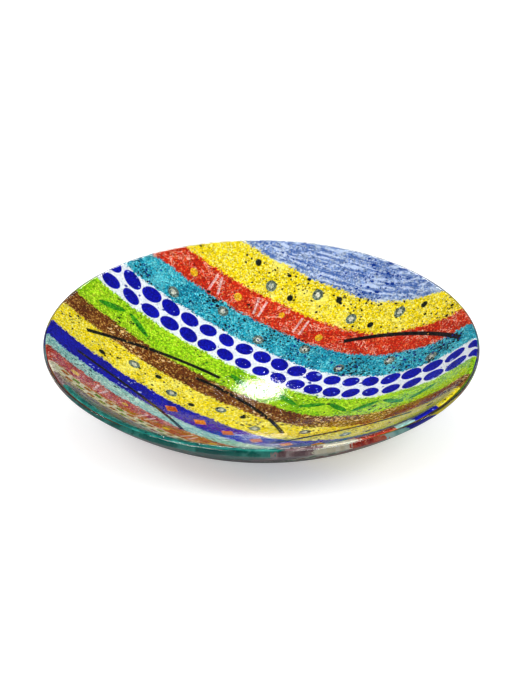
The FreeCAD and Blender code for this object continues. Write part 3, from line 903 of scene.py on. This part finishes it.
def clearGlassBody():
    mesh = bmesh.new()
    points = profilePoints()
    count = clearGlass["segments"]
    bottom = mesh.verts.new((0, 0, 0))
    top = mesh.verts.new((0, 0, sphereZ - innerSphere))
    rings = []
    for radius, height in points:
        ring = []
        for k in range(count):
            angle = 2 * math.pi * k / count
            shift = handWander(angle, radius, height)
            reach = radius - abs(shift) * clearGlass["inward"]
            spot = (reach * math.cos(angle), reach * math.sin(angle), max(height + shift, 0.0))
            ring.append(mesh.verts.new(spot))
        rings.append(ring)
    for a, b in zip(rings, rings[1:]):
        for k in range(count):
            n = (k + 1) % count
            mesh.faces.new((a[k], a[n], b[n], b[k]))
    for k in range(count):
        n = (k + 1) % count
        mesh.faces.new((bottom, rings[0][n], rings[0][k]))
        mesh.faces.new((top, rings[-1][k], rings[-1][n]))
    bmesh.ops.recalc_face_normals(mesh, faces=mesh.faces)
    for face in mesh.faces:
        face.smooth = True
    data = bpy.data.meshes.new("clearGlassBody")
    mesh.to_mesh(data)
    mesh.free()
    return placed("clearGlassBody", data)


def clearMaterial():
    material, tree, shader = newMaterial("clearFiredGlass")
    shader.inputs["Roughness"].default_value = 0.0
    shader.inputs["IOR"].default_value = clearGlass["ior"]
    shader.inputs["Transmission Weight"].default_value = 1.0
    place = put(tree, "ShaderNodeTexCoord").outputs["Object"]
    slow = noise(tree, place, clearGlass["slowScale"], 2.0, 0.45)
    fine = noise(tree, place, clearGlass["fineScale"], 2.0, 0.55)
    height = maths(tree, "MULTIPLY_ADD", fine, clearGlass["ripple"], slow)
    distance, chance, _ = cells(tree, place, clearGlass["pitScale"])
    pitted = maths(tree, "LESS_THAN", chance, clearGlass["pitShare"])  # a small pit here and there
    pit = maths(tree, "MULTIPLY", rise(tree, distance, clearGlass["pitReach"], 0.0), pitted)
    height = maths(tree, "MULTIPLY_ADD", pit, -clearGlass["pitDepth"], height)
    bump = put(tree, "ShaderNodeBump")
    bump.inputs["Strength"].default_value = clearGlass["bump"]
    bump.inputs["Distance"].default_value = clearGlass["bumpDepth"]
    weight = put(tree, "ShaderNodeLayerWeight")
    weight.inputs["Blend"].default_value = 0.5
    edgeOn = rise(tree, weight.outputs["Facing"], *clearGlass["edgeRange"])
    tint = blendColour(tree, edgeOn, clearGlass["tint"], clearGlass["edgeTint"])
    tree.links.new(tint, shader.inputs["Base Color"])
    tree.links.new(height, bump.inputs["Height"])
    tree.links.new(bump.outputs[0], shader.inputs["Normal"])
    clear = put(tree, "ShaderNodeBsdfTransparent")
    clear.inputs[0].default_value = clearGlass["shadowTint"]
    path = put(tree, "ShaderNodeLightPath")
    mix = put(tree, "ShaderNodeMixShader")
    tree.links.new(path.outputs["Is Shadow Ray"], mix.inputs[0])
    tree.links.new(shader.outputs[0], mix.inputs[1])
    tree.links.new(clear.outputs[0], mix.inputs[2])
    tree.links.new(mix.outputs[0], tree.nodes["Material Output"].inputs["Surface"])
    return material


glassBody = clearGlassBody()
dress(glassBody.data, clearMaterial())
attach(glassBody, "root")
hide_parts("clear_base", "clear_cap")
print("bowl: clear glass made,", len(glassBody.data.polygons), "faces")


# floor, light and camera
studio = {
    "floorHalf": 6.0,
    "sky": 0.78,
    "skyMirrored": 0.12,  # the dim room that the glass reflects
    "floorMirrored": rgb(0.28, 0.29, 0.30),
    "floorGlow": 0.36,  # the table burns out to white, as under bright cloth
    "floorThroughGlass": 0.30,
    "floorDrop": 0.0001,  # a hair below the foot
    "floorRoughness": 0.9,
    "floorSpecular": 0.1,
    "mottleScale": 300.0,
    "mottle": (rgb(0.80, 0.80, 0.80), rgb(0.82, 0.82, 0.82)),
    "lampAim": (0, 0, 0.04),
    "lampFade": (0.5, 0.12),  # how far from the cloth's middle it is dark, and still full
    "softboxes": [  # name, azimuth, elevation, distance, width, height, watts
        ("backSoftbox", 90.0, 42.0, 2.2, 0.46, 0.66, 25.0),
        ("frontLeftSoftbox", -130.0, 46.0, 2.6, 2.2, 1.6, 130.0),
        ("frontRightSoftbox", -50.0, 46.0, 2.6, 2.2, 1.6, 130.0),
        ("leftStrip", 184.0, 24.0, 2.2, 0.14, 1.1, 9.0),
        ("rightStrip", -4.0, 24.0, 2.2, 0.14, 1.1, 9.0),
    ],
}
view = {
    "elevation": 29.1,
    "distance": 1.8,
    "lens": 100.6,
    "roll": 0.58,
    "aimDown": 0.0108,
    "aimRight": 0.0010,
    "sensor": 36.0,
}


def studioFloor():
    half, low = studio["floorHalf"], -studio["floorDrop"]
    data = bpy.data.meshes.new("studioFloor")
    corners = [(-half, -half, low), (half, -half, low), (half, half, low), (-half, half, low)]
    data.from_pydata(corners, [], [(0, 1, 2, 3)])
    material, tree, shader = newMaterial("paleFloor")
    shader.inputs["Roughness"].default_value = studio["floorRoughness"]
    shader.inputs["Specular IOR Level"].default_value = studio["floorSpecular"]
    coords = put(tree, "ShaderNodeTexCoord")
    mottle = noise(tree, coords.outputs["Object"], studio["mottleScale"], 3.0)
    pale = blendColour(tree, mottle, *studio["mottle"])
    path = put(tree, "ShaderNodeLightPath")
    pale = blendColour(tree, path.outputs["Is Glossy Ray"], pale, studio["floorMirrored"])
    tree.links.new(pale, shader.inputs["Base Color"])
    shader.inputs["Emission Color"].default_value = (1.0, 1.0, 1.0, 1.0)
    glow = maths(tree, "MULTIPLY", path.outputs["Is Camera Ray"], studio["floorGlow"])
    through = path.outputs["Is Transmission Ray"]
    glow = maths(tree, "MULTIPLY_ADD", through, studio["floorThroughGlass"], glow)
    tree.links.new(glow, shader.inputs["Emission Strength"])
    dress(data, material)
    placed("studioFloor", data)


def aimed(thing, target):
    direction = Vector(target) - thing.location
    thing.rotation_euler = direction.to_track_quat("-Z", "Y").to_euler()


def fadedToEdge(light):  # brightest in the middle of the cloth
    light.use_nodes = True
    tree = light.node_tree
    geometry = put(tree, "ShaderNodeNewGeometry")
    centred = put(tree, "ShaderNodeVectorMath", operation="SUBTRACT")
    tree.links.new(geometry.outputs["Parametric"], centred.inputs[0])
    centred.inputs[1].default_value = (0.5, 0.5, 0.0)
    length = put(tree, "ShaderNodeVectorMath", operation="LENGTH")
    tree.links.new(centred.outputs[0], length.inputs[0])
    glow = rise(tree, length.outputs["Value"], *studio["lampFade"])
    tree.links.new(maths(tree, "MULTIPLY", glow, glow), tree.nodes["Emission"].inputs["Strength"])


def softboxes():
    for name, azimuth, elevation, distance, width, height, power in studio["softboxes"]:
        light = bpy.data.lights.new(name, "AREA")
        light.shape = "RECTANGLE"
        light.size, light.size_y, light.energy = width, height, power
        fadedToEdge(light)
        lamp = placed(name, light)
        a, e = math.radians(azimuth), math.radians(elevation)
        away = distance * math.cos(e)
        lamp.location = (away * math.cos(a), away * math.sin(a), distance * math.sin(e))
        aimed(lamp, studio["lampAim"])
    world = bpy.data.worlds.new("studioSky")
    world.use_nodes = True
    tree = world.node_tree
    background = tree.nodes["Background"]
    background.inputs[0].default_value = (1, 1, 1, 1)
    path = put(tree, "ShaderNodeLightPath")
    lifted = 1.0 - studio["sky"]
    seen = maths(tree, "MULTIPLY_ADD", path.outputs["Is Camera Ray"], lifted, studio["sky"])
    dimmed = studio["skyMirrored"] - studio["sky"]
    strength = maths(tree, "MULTIPLY_ADD", path.outputs["Is Glossy Ray"], dimmed, seen)
    tree.links.new(strength, background.inputs[1])
    bpy.context.scene.world = world


def camera():
    data = bpy.data.cameras.new("photoCamera")
    data.lens = view["lens"]
    data.sensor_fit = "AUTO"
    data.sensor_width = view["sensor"]
    eye = placed("photoCamera", data)
    e = math.radians(view["elevation"])
    target = Vector((0, 0, lipZ))
    eye.location = target + view["distance"] * Vector((0, -math.cos(e), math.sin(e)))
    up = Vector((0, math.sin(e), math.cos(e)))
    aimed(eye, target - up * view["aimDown"] + Vector((view["aimRight"], 0, 0)))
    eye.rotation_euler.rotate_axis("Z", math.radians(view["roll"]))
    bpy.context.scene.camera = eye


studioFloor()
softboxes()
camera()
bpy.context.scene.view_settings.view_transform = "Standard"
print("bowl: studio and camera set")
